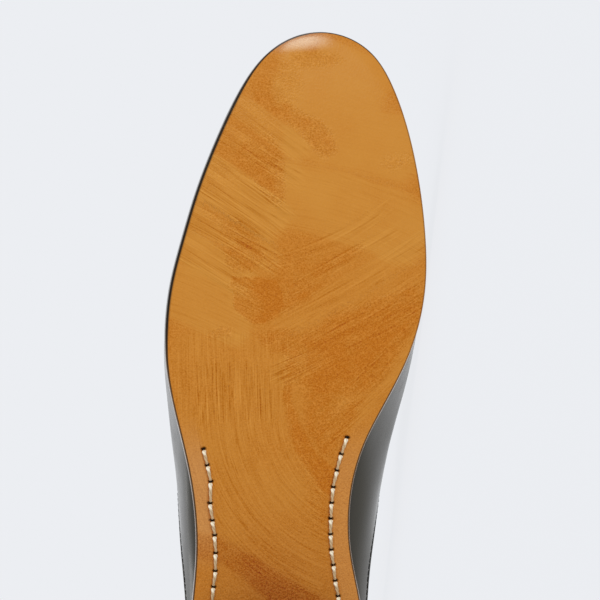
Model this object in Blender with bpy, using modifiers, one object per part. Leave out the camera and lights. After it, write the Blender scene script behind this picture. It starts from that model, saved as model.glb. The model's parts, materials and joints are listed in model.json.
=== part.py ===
"""Mule loafer, right shoe, lying on its medial side.

The shoe is modelled in its own frame, in millimetres: Y runs from the back of the heel to the toe,
X to the lateral side and Z up from the ground that the shoe would stand on. An empty then lays it
on its side, on the sole's edge and the side of the upper, with the sole facing -Y and the toe at +X.
"""

import math

import bmesh
import bpy
import numpy as np
from mathutils import Matrix, Vector
from mathutils.geometry import intersect_point_tri

MM = 0.001

# Driving dimensions in millimetres
SOLE_LENGTH = 258.0
SOLE_THICKNESS = 4.5
INSOLE_THICKNESS = 3.0
UPPER_WALL = 1.8
FIT_GAP = 0.3
HEEL_BREAST = 64.0
HEEL_TAPER = 1.6
HEEL_BREAST_HOLLOW = 3.0
HEEL_INSET = 0.8
STITCH_MARGIN = 6.5
MARGIN_STEP = 3.6
FEATHER_INSET = 0.9
INSOLE_EDGE_ROUND = 0.8

# The two sides, as signs of X
LATERAL = 1.0
MEDIAL = -1.0

# How steeply the margin's paring and the breast's hollow set in
PARING_POWER = 1.5
HOLLOW_POWER = 4

# Least share of a resting face's normal that points to its side
SIDE_FACING = 0.7

# Mesh fineness
SOLE_STATIONS = 44
SOLE_COLUMNS = 4
INSOLE_STATIONS = 34
HEEL_STATIONS = 16
HEEL_COLUMNS = 6
UPPER_LENGTHWISE = 30
UPPER_ACROSS = 36
OUTLINE_SAMPLES = 500
SECTION_SAMPLES = 60
MERGE_DISTANCE = 0.02
SHARP_ANGLE = math.radians(40)

# The sole's edge: its reach to each side of the heel's centre line at each station from the heel
OUTLINE_COLUMNS = ("station", "lateral", "medial")
OUTLINE_ROWS = (
    (0.0, 0.0, 0.0),
    (6.0, 16.6, 16.4),
    (16.0, 25.2, 24.8),
    (34.0, 30.0, 29.6),
    (54.0, 29.6, 29.2),
    (76.0, 27.4, 26.7),
    (90.0, 26.4, 24.0),
    (104.0, 27.0, 23.5),
    (116.0, 28.8, 25.3),
    (127.0, 31.3, 29.1),
    (139.0, 34.2, 35.3),
    (150.0, 36.1, 41.0),
    (162.0, 36.5, 45.4),
    (176.0, 35.0, 47.6),
    (190.0, 31.6, 47.7),
    (206.0, 27.0, 46.1),
    (223.0, 20.1, 42.9),
    (239.0, 12.4, 37.8),
    (250.0, 4.4, 31.5),
    (258.0, -13.8, 13.8),
)

# The sole's underside: its height over the ground, and how far its stitched margin is pared away.
# A height under zero is trodden flat, which gives the forefoot its flat spot.
PROFILE_COLUMNS = ("station", "height", "paring")
PROFILE_ROWS = (
    (0.0, 15.6, 0.2),
    (30.0, 15.3, 0.2),
    (62.0, 14.3, 0.4),
    (85.0, 11.4, 1.2),
    (110.0, 6.2, 1.4),
    (135.0, 1.6, 0.9),
    (158.0, -0.3, 0.4),
    (178.0, -0.5, 0.3),
    (196.0, -0.2, 0.3),
    (222.0, 1.8, 0.3),
    (242.0, 5.0, 0.3),
    (258.0, 8.6, 0.3),
)

# The sole's edge from its underside up: how far it lies inside the outline, and the share of its thickness
EDGE_COLUMNS = ("inset", "share")
EDGE_ROWS = (
    (0.75, 0.0),
    (0.15, 0.25),
    (0.0, 0.6),
    (0.15, 1.0),
)

# The upper over the last: swell of each side beyond the feather line, the height where it is widest,
# the height of the ridge, the ridge's lean to the medial side and the roundness of the arch
LAST_COLUMNS = (
    "from_toe",
    "lateral_swell",
    "medial_swell",
    "swell_height",
    "ridge_height",
    "lean",
    "roundness",
)
LAST_ROWS = (
    (0.0, 0.0, 0.0, 0.0, 0.0, 0.00, 2.5),
    (1.5, 0.0, 0.0, 3.6, 9.6, 0.00, 2.5),
    (6.0, 0.0, 0.0, 7.2, 16.8, 0.00, 2.45),
    (16.0, 0.0, 0.0, 10.4, 22.2, 0.02, 2.4),
    (36.0, 0.0, 0.0, 13.0, 28.2, 0.05, 2.35),
    (60.0, 0.0, 0.0, 14.6, 35.8, 0.08, 2.3),
    (84.0, 0.3, 0.4, 15.6, 44.6, 0.10, 2.25),
    (100.0, 0.8, 1.6, 16.8, 51.0, 0.11, 2.25),
    (119.0, 2.3, 6.0, 18.6, 58.4, 0.12, 2.25),
    (131.0, 4.0, 8.9, 19.8, 62.6, 0.12, 2.25),
    (143.0, 5.3, 10.2, 20.8, 66.4, 0.12, 2.25),
    (156.0, 6.2, 9.9, 21.6, 70.0, 0.11, 2.2),
    (170.0, 6.2, 8.2, 22.2, 73.4, 0.10, 2.2),
    (186.0, 4.4, 4.8, 22.6, 76.4, 0.08, 2.2),
    (206.0, 1.6, 1.4, 23.0, 79.0, 0.05, 2.2),
)

# The topline: how far back from the toe the upper reaches, by the share of the girth from the ridge down
TOPLINE_COLUMNS = ("girth", "from_toe")
TOPLINE_ROWS = (
    (0.0, 135.0),
    (0.12, 134.6),
    (0.26, 133.8),
    (0.40, 135.4),
    (0.52, 139.6),
    (0.64, 146.6),
    (0.76, 157.6),
    (0.87, 175.0),
    (0.94, 190.0),
    (1.0, 203.0),
)

# The insole: how far its edge lies inside the sole's edge
INSOLE_COLUMNS = ("station", "inset")
INSOLE_ROWS = (
    (0.0, 0.7),
    (24.0, 0.7),
    (38.0, 0.9),
    (52.0, 3.1),
    (66.0, 3.3),
    (110.0, 3.3),
    (258.0, 3.3),
)


def table(names, rows):
    """The columns of a table by name."""
    return dict(zip(names, np.array(rows, float).T))


def spline(knots, values):
    """A natural cubic spline through the values, as a function."""
    count = len(knots)
    step = np.diff(knots)
    slope = np.diff(values) / step
    system = np.eye(count)
    right = np.zeros(count)
    for i in range(1, count - 1):
        system[i, i - 1 : i + 2] = step[i - 1], 2 * (step[i - 1] + step[i]), step[i]
        right[i] = 6 * (slope[i] - slope[i - 1])
    bend = np.linalg.solve(system, right)

    def at(x):
        x = np.clip(x, knots[0], knots[-1])
        i = np.clip(np.searchsorted(knots, x) - 1, 0, count - 2)
        before = x - knots[i]
        after = knots[i + 1] - x
        curve = (bend[i] * after**3 + bend[i + 1] * before**3) / (6 * step[i])
        chord = (values[i] * after + values[i + 1] * before) / step[i]
        return curve + chord - step[i] * (bend[i] * after + bend[i + 1] * before) / 6

    return at


def turn_of(station):
    """The half turn that a station stands for, so that a curve over it is round at heel and toe."""
    return np.arccos(np.clip(1 - 2 * np.asarray(station) / SOLE_LENGTH, -1, 1))


OUTLINE = table(OUTLINE_COLUMNS, OUTLINE_ROWS)
PROFILE = table(PROFILE_COLUMNS, PROFILE_ROWS)
EDGE = table(EDGE_COLUMNS, EDGE_ROWS)
LAST = table(LAST_COLUMNS, LAST_ROWS)
TOPLINE = table(TOPLINE_COLUMNS, TOPLINE_ROWS)
INSOLE = table(INSOLE_COLUMNS, INSOLE_ROWS)

reach_of = {
    LATERAL: spline(turn_of(OUTLINE["station"]), OUTLINE["lateral"]),
    MEDIAL: spline(turn_of(OUTLINE["station"]), OUTLINE["medial"]),
}
profile_height = spline(PROFILE["station"], PROFILE["height"])
paring = spline(PROFILE["station"], PROFILE["paring"])
insole_inset = spline(INSOLE["station"], INSOLE["inset"])
last_curve = {name: spline(np.sqrt(LAST["from_toe"]), LAST[name]) for name in LAST_COLUMNS[1:]}
topline_reach = spline(
    np.concatenate([-TOPLINE["girth"][:0:-1], TOPLINE["girth"]]),
    np.concatenate([TOPLINE["from_toe"][:0:-1], TOPLINE["from_toe"]]),
)


def ground_clearance(station):
    """Height of the sole's underside over the ground."""
    return np.maximum(profile_height(station), 0.0)


def sole_top(station):
    return ground_clearance(station) + SOLE_THICKNESS


def edge_line(side, inset):
    """One side of the sole's outline, moved inwards: points (x, y) from heel to toe."""
    turn = np.linspace(0, math.pi, OUTLINE_SAMPLES)
    y = SOLE_LENGTH * (1 - np.cos(turn)) / 2
    x = side * reach_of[side](turn)
    along_x = np.gradient(x)
    along_y = np.gradient(y)
    along_x[[0, -1]] = side, -side
    along_y[[0, -1]] = 0.0
    length = np.hypot(along_x, along_y)
    depth = inset(y) if callable(inset) else inset
    return np.stack([x - side * depth * along_y / length, y + side * depth * along_x / length], axis=1)


def point_on(line, share):
    """The point of an outline at a share of its way from heel to toe."""
    start, end = line[0, 1], line[-1, 1]
    station = start + (end - start) * (1 - math.cos(math.pi * share)) / 2
    return np.array([np.interp(station, line[:, 1], line[:, 0]), station])


def skin(name, rows, closed=False):
    """A mesh object over rows of points: a grid laid over them, its meeting rows merged."""
    along, across = rows.shape[:2]
    mesh = bmesh.new()
    bmesh.ops.create_grid(mesh, x_segments=across - 1, y_segments=along - 1, size=1)
    for vert, point in zip(mesh.verts, rows.reshape(-1, 3)):
        vert.co = Vector(point) * MM
    bmesh.ops.remove_doubles(mesh, verts=mesh.verts, dist=MERGE_DISTANCE * MM)
    if closed:
        bmesh.ops.holes_fill(mesh, edges=mesh.edges)
        bmesh.ops.recalc_face_normals(mesh, faces=mesh.faces)
    data = bpy.data.meshes.new(name)
    mesh.to_mesh(data)
    mesh.free()
    data.shade_smooth()
    data.set_sharp_from_angle(angle=SHARP_ANGLE)
    return bpy.data.objects.new(name, data)


def outsole_ring(share, lines, inner):
    """The outsole's section: across its underside, up one edge, back over its top and down the other."""
    thickness = EDGE["share"] * SOLE_THICKNESS
    points = []
    for side, order in ((MEDIAL, -1), (LATERAL, 1)):
        margin = []
        for inset, line in inner[side]:
            x, y = point_on(line, share)
            cut = paring(y) * ((STITCH_MARGIN - inset) / STITCH_MARGIN) ** PARING_POWER
            margin.append((x, y, ground_clearance(y) + cut))
        points.append(margin[::order])
    medial, lateral = points
    across = np.linspace(medial[-1], lateral[0], SOLE_COLUMNS + 1)[1:-1]
    ring = medial + [tuple(point) for point in across] + lateral
    for side, order in ((LATERAL, 1), (MEDIAL, -1)):
        wall = []
        for line, rise in list(zip(lines[side], thickness))[1:]:
            x, y = point_on(line, share)
            low = paring(y) * (1 - rise / SOLE_THICKNESS)
            wall.append((x, y, ground_clearance(y) + max(rise, low)))
        ring += wall[::order]
    return ring + ring[:1]


def make_outsole():
    lines = {side: [edge_line(side, inset) for inset in EDGE["inset"]] for side in (LATERAL, MEDIAL)}
    insets = (STITCH_MARGIN, MARGIN_STEP, EDGE["inset"][0])
    inner = {side: [(inset, edge_line(side, inset)) for inset in insets] for side in (LATERAL, MEDIAL)}
    shares = np.linspace(0, 1, SOLE_STATIONS + 1)
    rings = np.array([outsole_ring(share, lines, inner) for share in shares])
    return skin("outsole", rings, closed=True)


def make_insole():
    wide = {side: edge_line(side, insole_inset) for side in (LATERAL, MEDIAL)}
    eased = {
        side: edge_line(side, lambda y: insole_inset(y) + INSOLE_EDGE_ROUND) for side in (LATERAL, MEDIAL)
    }
    rings = []
    for share in np.linspace(0, 1, INSOLE_STATIONS + 1):
        ring = []
        for line, rise, sides in (
            (wide, 0.0, (MEDIAL, LATERAL)),
            (wide, INSOLE_THICKNESS - INSOLE_EDGE_ROUND, (LATERAL,)),
            (eased, INSOLE_THICKNESS, (LATERAL, MEDIAL)),
            (wide, INSOLE_THICKNESS - INSOLE_EDGE_ROUND, (MEDIAL,)),
        ):
            for side in sides:
                x, y = point_on(line[side], share)
                ring.append((x, y, sole_top(y) + FIT_GAP + rise))
        rings.append(ring + ring[:1])
    return skin("insole", np.array(rings), closed=True)


def make_heel():
    """The heel block: it carries the heel seat, tapers to the ground and has a hollow breast."""
    seat = {side: edge_line(side, HEEL_INSET) for side in (LATERAL, MEDIAL)}
    tread = {side: edge_line(side, HEEL_INSET + HEEL_TAPER) for side in (LATERAL, MEDIAL)}
    last_share = math.acos(1 - 2 * HEEL_BREAST / SOLE_LENGTH) / math.pi
    rings = []
    for share in np.linspace(0, last_share, HEEL_STATIONS + 1):
        ring = []
        for lines, level, sides in ((tread, 0.0, (MEDIAL, LATERAL)), (seat, 1.0, (LATERAL, MEDIAL))):
            start = point_on(lines[sides[0]], share)
            end = point_on(lines[sides[1]], share)
            for part in np.linspace(0, 1, HEEL_COLUMNS + 1):
                x, y = (1 - part) * start + part * end
                bow = 1 - (2 * part - 1) ** 2
                y -= HEEL_BREAST_HOLLOW * (share / last_share) ** HOLLOW_POWER * bow
                ring.append((x, y, level * (ground_clearance(y) - FIT_GAP)))
        rings.append(ring + ring[:1])
    return skin("heel", np.array(rings), closed=True)


def upper_side(from_toe, side, feather):
    """Half a section of the upper, from the ridge down to the feather line: points (x, z)."""
    depth = math.sqrt(from_toe)
    tip = feather[LATERAL][-1, 1]
    station = tip - from_toe
    edge = {s: np.interp(station, feather[s][:, 1], feather[s][:, 0]) for s in (LATERAL, MEDIAL)}
    floor = sole_top(station) + FIT_GAP
    half = (edge[LATERAL] - edge[MEDIAL]) / 2
    ridge_x = (edge[LATERAL] + edge[MEDIAL]) / 2 - last_curve["lean"](depth) * half
    swell_name = "lateral_swell" if side == LATERAL else "medial_swell"
    swell = side * max(0.0, last_curve[swell_name](depth))
    wide_x = edge[side] + swell
    wide_z = last_curve["swell_height"](depth)
    ridge_z = last_curve["ridge_height"](depth)
    power = 2 / last_curve["roundness"](depth)
    turn = np.linspace(0, math.pi / 2, SECTION_SAMPLES)
    arch_x = ridge_x + (wide_x - ridge_x) * np.sin(turn) ** power
    arch_z = wide_z + (ridge_z - wide_z) * np.cos(turn) ** power
    wall_x = wide_x - swell * (1 - np.cos(turn))
    wall_z = wide_z * (1 - np.sin(turn))
    x = np.concatenate([arch_x, wall_x[1:]])
    z = np.concatenate([arch_z, wall_z[1:]])
    return np.stack([x, np.full_like(x, station), z + floor], axis=1)


def at_girth(points, share):
    """The point at a share of a polyline's length."""
    run = np.concatenate([[0.0], np.cumsum(np.linalg.norm(np.diff(points, axis=0), axis=1))])
    return [np.interp(share * run[-1], run, points[:, k]) for k in range(3)]


def make_upper():
    """The upper's outer face from the topline to the toe, given its wall inwards."""
    feather = {side: edge_line(side, FEATHER_INSET) for side in (LATERAL, MEDIAL)}
    columns = []
    for girth in np.linspace(-1, 1, UPPER_ACROSS + 1):
        side = LATERAL if girth >= 0 else MEDIAL
        back = math.sqrt(topline_reach(girth))
        reaches = np.linspace(back, 0, UPPER_LENGTHWISE + 1) ** 2
        columns.append([at_girth(upper_side(reach, side, feather), abs(girth)) for reach in reaches])
    rows = np.array(columns).transpose(1, 0, 2)
    upper = skin("upper", rows)
    wall = upper.modifiers.new("wall", "SOLIDIFY")
    wall.thickness = UPPER_WALL * MM
    wall.offset = -1
    wall.use_even_offset = True
    return upper


def material(name, colour, roughness):
    made = bpy.data.materials.new(name)
    made.use_nodes = True
    shader = made.node_tree.nodes["Principled BSDF"]
    shader.inputs["Base Color"].default_value = (*colour, 1)
    shader.inputs["Roughness"].default_value = roughness
    shader.inputs["Metallic"].default_value = 0.0
    return made


def world_triangles(objects):
    """The corners of each object's triangles, as arrays in metres."""
    graph = bpy.context.evaluated_depsgraph_get()
    found = []
    for obj in objects:
        mesh = obj.evaluated_get(graph).to_mesh()
        mesh.calc_loop_triangles()
        points = np.array([vert.co for vert in mesh.vertices])
        found.append(points[[list(tri.vertices) for tri in mesh.loop_triangles]])
    return found


def centre_of_mass(triangles):
    """The common centroid of closed solids of one density."""
    corners = np.concatenate(triangles)
    volume = np.einsum("ij,ij->i", corners[:, 0], np.cross(corners[:, 1], corners[:, 2]))
    return Vector((corners.sum(axis=1) * volume[:, None]).sum(axis=0) / (4 * volume.sum()))


def resting_normal(triangles, side):
    """The way down when the shoe rests on that side: the normal of the hull's face under its weight."""
    weight = centre_of_mass(triangles)
    hull = bmesh.new()
    for point in np.unique(np.concatenate(triangles).reshape(-1, 3), axis=0):
        hull.verts.new(point)
    bmesh.ops.convex_hull(hull, input=hull.verts)
    hull.normal_update()
    for face in hull.faces:
        corners = [vert.co for vert in face.verts]
        foot = weight - face.normal * face.normal.dot(weight - corners[0])
        if face.normal.x * side > SIDE_FACING and intersect_point_tri(foot, *corners[:3]):
            return face.normal.copy()
    return Vector((side, 0, 0))


def lay_on_side(root, objects, side):
    """Turns the root so that the shoe rests on that side, its sole facing -Y, centred over the origin."""
    triangles = world_triangles(objects)
    up = -resting_normal(triangles, side)
    lengthwise = Vector((0, -side, 0))
    along = (lengthwise - up * up.dot(lengthwise)).normalized()
    turn = Matrix((along, up.cross(along), up))
    points = np.concatenate(triangles).reshape(-1, 3) @ np.array(turn).T
    low = points.min(axis=0)
    high = points.max(axis=0)
    middle = (low + high) / 2
    place = Matrix.Translation((-middle[0], -middle[1], -low[2]))
    root.matrix_world = place @ turn.to_4x4()


def main():
    for obj in list(bpy.data.objects):
        bpy.data.objects.remove(obj)
    shoe = bpy.data.collections.new("mule_loafer")
    bpy.context.scene.collection.children.link(shoe)
    pieces = (
        (make_outsole(), material("sole_leather", (0.54, 0.21, 0.035), 0.42)),
        (make_heel(), material("heel_stack", (0.022, 0.014, 0.009), 0.38)),
        (make_insole(), material("sock_leather", (0.56, 0.40, 0.25), 0.6)),
        (make_upper(), material("polished_black_leather", (0.012, 0.012, 0.012), 0.18)),
    )
    root = bpy.data.objects.new("shoe", None)
    shoe.objects.link(root)
    for obj, finish in pieces:
        obj.data.materials.append(finish)
        obj.parent = root
        shoe.objects.link(obj)
    bpy.context.view_layer.update()
    lay_on_side(root, [obj for obj, finish in pieces], MEDIAL)


main()
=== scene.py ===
"""Mule loafer: its leathers, stitching and finish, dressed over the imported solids.

Shapes are worked out in the shoe's own millimetres: Y runs from the back of the heel to the toe, X to
the lateral side and Z up from the ground that the shoe would stand on. The two treads in the record
place that frame in the scene, where the shoe lies on its medial side.
"""

import json
import math

import bmesh
import bpy
import numpy as np
from mathutils import Matrix, Vector
from mathutils.kdtree import KDTree


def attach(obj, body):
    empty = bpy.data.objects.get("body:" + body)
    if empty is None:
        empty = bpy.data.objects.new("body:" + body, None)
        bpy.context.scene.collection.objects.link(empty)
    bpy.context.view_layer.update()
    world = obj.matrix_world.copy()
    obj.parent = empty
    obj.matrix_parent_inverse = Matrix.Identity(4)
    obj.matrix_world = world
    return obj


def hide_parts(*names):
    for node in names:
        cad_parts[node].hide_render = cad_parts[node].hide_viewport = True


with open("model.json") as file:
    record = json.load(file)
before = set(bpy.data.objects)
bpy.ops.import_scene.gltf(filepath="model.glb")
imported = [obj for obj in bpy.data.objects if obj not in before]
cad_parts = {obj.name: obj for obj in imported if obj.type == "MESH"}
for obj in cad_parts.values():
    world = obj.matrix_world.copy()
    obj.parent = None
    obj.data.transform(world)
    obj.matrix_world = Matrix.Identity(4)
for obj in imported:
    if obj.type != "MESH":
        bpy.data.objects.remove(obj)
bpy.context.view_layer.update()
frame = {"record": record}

MM = 0.001
LATERAL = 1.0
MEDIAL = -1.0
SIDES = (LATERAL, MEDIAL)

# Driving dimensions in millimetres, the same as the solids'
SOLE_LENGTH = 258.0
SOLE_THICKNESS = 4.5
INSOLE_THICKNESS = 3.0
UPPER_WALL = 1.8
FIT_GAP = 0.3
HEEL_BREAST = 64.0
HEEL_TAPER = 1.6
HEEL_BREAST_HOLLOW = 3.0
HEEL_INSET = 0.8
STITCH_MARGIN = 6.5
FEATHER_INSET = 0.9
INSOLE_EDGE_ROUND = 0.8
SOCK_SPREAD = 0.6
SOCK_SPREAD_END = (208, 186)
PARING_POWER = 1.5
HEEL_SPOT_STATION = 33.0

# Finish of the sole: how wide its rounded edge shows, the ink on it, and the crown of its toe
EDGE_SHARE = {LATERAL: 1.0, MEDIAL: 0.9}
FOREPART_EDGE_SHARE = {LATERAL: 1.0, MEDIAL: 0.4}
TOE_EDGE_SHARE = 0.5
INK_REACH = {LATERAL: 0.1, MEDIAL: 0.06}
FOREPART_INK_REACH = {LATERAL: 0.62, MEDIAL: 0.32}
WAIST_INK = {LATERAL: 0.85, MEDIAL: 0.8}
FOREPART_INK = {LATERAL: 1.0, MEDIAL: 0.45}
TOE_INK = 0.95
TOE_INK_LOSS = 0.5
INK_FADE = 0.6
WALL_POLISH = 1.0
WALL_POLISH_RISE = (0.08, 0.2)
# Painted highlight: a pale line along the edge wall, centred at this share of its rise and this wide,
# fainter on the forepart
SHEEN_RISE = 0.22
SHEEN_WIDTH = 0.12
FOREPART_SHEEN_LOSS = 0.6
TOP_MARGIN = 1.6
TOE_CURL = 0.62
TOE_CURL_REACH = 4.7
TOE_SWING = 10.0
TOE_POLISH_SLANT = 0.08
TOE_POLISH_MIDDLE = -6.0
TOE_POLISH_LATERAL = (8.0, 0.0)
TOE_POLISH_MEDIAL = (-21.0, -9.0)
PARED = {LATERAL: 0.85, MEDIAL: 0.5}
PARED_MARGIN = (6.4, 4.4)
WORN_PARED_LOSS = 0.7
HEEL_SHADE = 0.44
PARED_SHADE_LOSS = 0.7
LATERAL_SHADE_LOSS = 0.45
LATERAL_SHADE_END = (6, 20)
MEDIAL_SHADE_LOSS = 0.3
MEDIAL_SHADE_END = (-4, -12)
WORN_SHADE = 0.45
STITCH_SHADE = 0.75

# Stations between which the sole's finish sets in or fades
FOREPART_START = (138, 164)
TOE_SWING_START = (150, 240)
TOE_CURL_START = (225, 250)
TOE_EDGE_START = (232, 256)
TOE_INK_START = (234, 256)
TOE_POLISH_START = (250.8, 254.8)
PARING_END = (136, 116)
LATERAL_PARING_START = (82, 96)
HEEL_SHADE_START = (128, 62)
WORN_SHADE_START = (102, 92)

# Hand stitching along the waist: awl holes and the thread that runs from one to the next
HOLE_LENGTH = 0.56
HOLE_WIDTH = 0.86
HOLE_DEPTH = 0.9
HOLE_RIM = (1.3, 0.6)
HOLE_SKEW = 9.0
HOLE_SEED = 5
THREAD_RADIUS = 0.52
THREAD_RISE = 0.4
HEAD_GAP = 0.4
TAIL_GAP = 0.1
SHADE_WIDTH = 0.42
STITCH_WOBBLE = math.radians(4)
STITCH_SEED = 11

# The form of a stitch: shares of the thread's radius and rise, and places from -1 at its
# head to 1 at its tail
STITCH_FULLNESS = 0.92
HEAD_FULLNESS = 0.3
HEAD_PLACE = -0.76
HEAD_LENGTH = 0.38
HEAD_DIP = 0.3
HEAD_DIP_START = (-0.7, -1.0)
# places over which the painted light of a stitch's head fades in
LIT_HEAD = (-0.1, -0.85)
TAIL_LOSS = 0.12
TAIL_DIP = 0.3
TAIL_DIP_POWER = 1.6
END_ROUND_START = 0.82
END_ROUND = 0.19
PLY_RELIEF = 0.14
THREAD_FLATNESS = 0.85

# The topline's turned edge and its fine stitches
SEAM_FROM_EDGE = 1.4
SEAM_PITCH = 2.1
SEAM_GAP = 0.35
SEAM_THREAD_RADIUS = 0.2
SEAM_THREAD_RISE = -0.02
SEAM_WIDTH = 0.4
SEAM_DEPTH = 0.16
FOLD_FROM_EDGE = 0.7
FOLD_WIDTH = 0.7
FOLD_RISE = 0.10
EDGE_STEPS = (0.0, 0.3, 0.6, 0.9, 1.2, 1.5, 1.8, 2.1, 2.4, 2.8, 3.4, 4.2, 5.2, 6.6, 8.4)

# Heel block: layers of its stack, the rubber top piece that meets the ground, the grooves between them in
# shares of the height, and the eased foot as a share of the height and an inset
HEEL_LAYERS = 4
TOP_PIECE_SHARE = 0.24
GROOVE_DEPTH = 0.12
GROOVE_HALF = 0.012
GROOVE_SHOULDER = 0.03
HEEL_FOOT = ((0.0, 0.5), (0.012, 0.25), (0.035, 0.08), (0.06, 0.0))

# Mesh fineness
OUTLINE_SAMPLES = 700
SECTION_SAMPLES = 60
SOLE_ROWS = 300
WAIST_ROW_STEP = 0.3
SOLE_COLUMNS = 66
EDGE_INSETS = (0.0, 0.05, 0.1, 0.2, 0.35, 0.5, 0.9, 1.4, 2.1, 2.9, 3.6)
STITCH_INSETS = np.arange(4.2, 8.3, 0.3)
INNER_INSETS = (8.8, 9.6)
WALL_RISES = (0.03, 0.07, 0.12, 0.2, 0.3, 0.45, 0.62, 0.8, 1.0)
UPPER_ROWS = 84
UPPER_COLUMNS = 132
RIM_ROWS = 5
SEAM_ROWS = 24
INSOLE_ROWS_ALONG = 120
INSOLE_ROWS_ACROSS = 26
INSOLE_CORNER_ROWS = 5
INSOLE_MARGIN = 1.6
HEEL_POINTS = 110
BREAST_POINTS = 25

# Angles in degrees over which an edge between faces stays sharp
SHARP = 50.0
HEEL_SHARP = 38.0

# Picture: scale at the sole, the place that the frame is centred on, and the camera's lean to the
# lateral side
PICTURE_PIXELS = 600
PIXELS_PER_MM = 3.108
PICTURE_CENTRE = (-7.1, 171.4, 1.0)
CAMERA_LEAN = math.radians(1.5)
CAMERA_DISTANCE = 2.6

# The sole's edge: its reach to each side of the heel's centre line at each station from the heel
OUTLINE_COLUMNS = ("station", "lateral", "medial")
OUTLINE_ROWS = (
    (0.0, 0.0, 0.0),
    (6.0, 16.6, 16.4),
    (16.0, 25.2, 24.8),
    (34.0, 30.0, 29.6),
    (54.0, 29.6, 29.2),
    (76.0, 27.4, 26.7),
    (90.0, 26.4, 24.0),
    (104.0, 27.0, 23.5),
    (116.0, 28.8, 25.3),
    (127.0, 31.3, 29.1),
    (139.0, 34.2, 35.3),
    (150.0, 36.1, 40.8),
    (162.0, 36.5, 45.1),
    (176.0, 35.0, 47.6),
    (190.0, 31.5, 47.7),
    (206.0, 26.7, 46.1),
    (223.0, 20.1, 42.9),
    (239.0, 12.4, 37.8),
    (250.0, 4.4, 31.5),
    (258.0, -13.8, 13.8),
)

# The sole's underside: its height over the ground, and how far its stitched margin is pared away
PROFILE_COLUMNS = ("station", "height", "paring")
PROFILE_ROWS = (
    (0.0, 15.6, 0.2),
    (30.0, 15.3, 0.2),
    (62.0, 14.3, 0.4),
    (85.0, 11.4, 1.2),
    (110.0, 6.2, 1.4),
    (135.0, 1.6, 0.9),
    (158.0, -0.3, 0.4),
    (178.0, -0.5, 0.3),
    (196.0, -0.2, 0.3),
    (222.0, 1.8, 0.3),
    (242.0, 5.0, 0.3),
    (258.0, 8.6, 0.3),
)

# The sole's edge from its underside up: how far it lies inside the outline, and the share of its thickness
EDGE_COLUMNS = ("inset", "share")
EDGE_ROWS = (
    (0.68, 0.0),
    (0.52, 0.03),
    (0.40, 0.07),
    (0.22, 0.19),
    (0.08, 0.33),
    (0.0, 0.62),
    (0.15, 1.0),
)

# The awl holes of the waist's two rows of stitches: x and station, from the toe's end back to the heel
HOLE_ROWS = {
    LATERAL: (
        (23.9, 123.5),
        (22.7, 118.3),
        (21.5, 113.0),
        (21.7, 106.0),
        (21.0, 100.4),
        (20.2, 95.6),
        (19.9, 89.8),
        (20.0, 84.0),
        (20.5, 78.8),
        (21.1, 73.4),
        (21.7, 68.2),
    ),
    MEDIAL: (
        (-22.4, 127.2),
        (-20.5, 121.9),
        (-19.1, 116.6),
        (-18.0, 111.2),
        (-17.5, 106.1),
        (-17.2, 101.0),
        (-17.2, 95.9),
        (-17.5, 90.9),
        (-18.1, 85.9),
        (-18.8, 80.8),
        (-19.7, 75.8),
        (-20.5, 70.8),
        (-21.2, 66.2),
    ),
}

# The upper over the last: swell of each side beyond the feather line, the height where it is widest,
# the height of the ridge, the ridge's lean to the medial side, and the roundness of the arch and of the
# wall under it
LAST_COLUMNS = (
    "from_toe",
    "lateral_swell",
    "medial_swell",
    "swell_height",
    "ridge_height",
    "lean",
    "roundness",
    "wall_roundness",
)
SWELL_NAMES = {LATERAL: "lateral_swell", MEDIAL: "medial_swell"}
LAST_ROWS = (
    (0.0, 0.0, 0.0, 0.0, 0.0, 0.00, 2.5, 1.3),
    (1.5, 0.0, 0.0, 3.6, 9.6, 0.00, 2.5, 1.3),
    (6.0, 0.0, 0.0, 7.2, 16.8, 0.00, 2.45, 1.3),
    (16.0, 0.0, 0.0, 10.4, 22.2, 0.02, 2.4, 1.3),
    (36.0, 0.0, 0.0, 13.0, 28.2, 0.05, 2.35, 1.3),
    (60.0, 0.0, 0.0, 14.6, 35.8, 0.08, 2.3, 1.3),
    (84.0, 0.3, 0.7, 15.6, 44.6, 0.10, 2.25, 1.3),
    (100.0, 0.8, 2.2, 16.8, 51.0, 0.11, 2.25, 1.2),
    (119.0, 2.2, 6.7, 18.6, 58.4, 0.12, 2.25, 1.15),
    (131.0, 3.8, 9.6, 19.8, 62.6, 0.12, 2.25, 1.2),
    (143.0, 4.9, 10.9, 20.8, 66.4, 0.12, 2.25, 1.65),
    (156.0, 5.7, 10.5, 21.6, 70.0, 0.11, 2.2, 2.0),
    (170.0, 6.0, 9.2, 22.2, 73.4, 0.10, 2.2, 1.6),
    (186.0, 5.0, 6.2, 22.6, 76.4, 0.08, 2.2, 1.3),
    (206.0, 1.6, 1.4, 23.0, 79.0, 0.05, 2.2, 1.6),
)

# The topline: how far back from the toe the upper reaches, by the share of the girth from the ridge down
TOPLINE_COLUMNS = ("girth", "from_toe")
TOPLINE_ROWS = (
    (0.0, 135.0),
    (0.12, 134.6),
    (0.26, 133.8),
    (0.40, 135.4),
    (0.52, 139.6),
    (0.64, 146.6),
    (0.76, 157.6),
    (0.87, 175.0),
    (0.94, 190.0),
    (1.0, 203.0),
)

# The insole: how far its edge lies inside the sole's edge
INSOLE_COLUMNS = ("station", "inset")
INSOLE_ROWS = (
    (0.0, 0.7),
    (24.0, 0.7),
    (38.0, 0.9),
    (52.0, 3.1),
    (66.0, 3.3),
    (110.0, 3.3),
    (258.0, 3.3),
)

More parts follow.
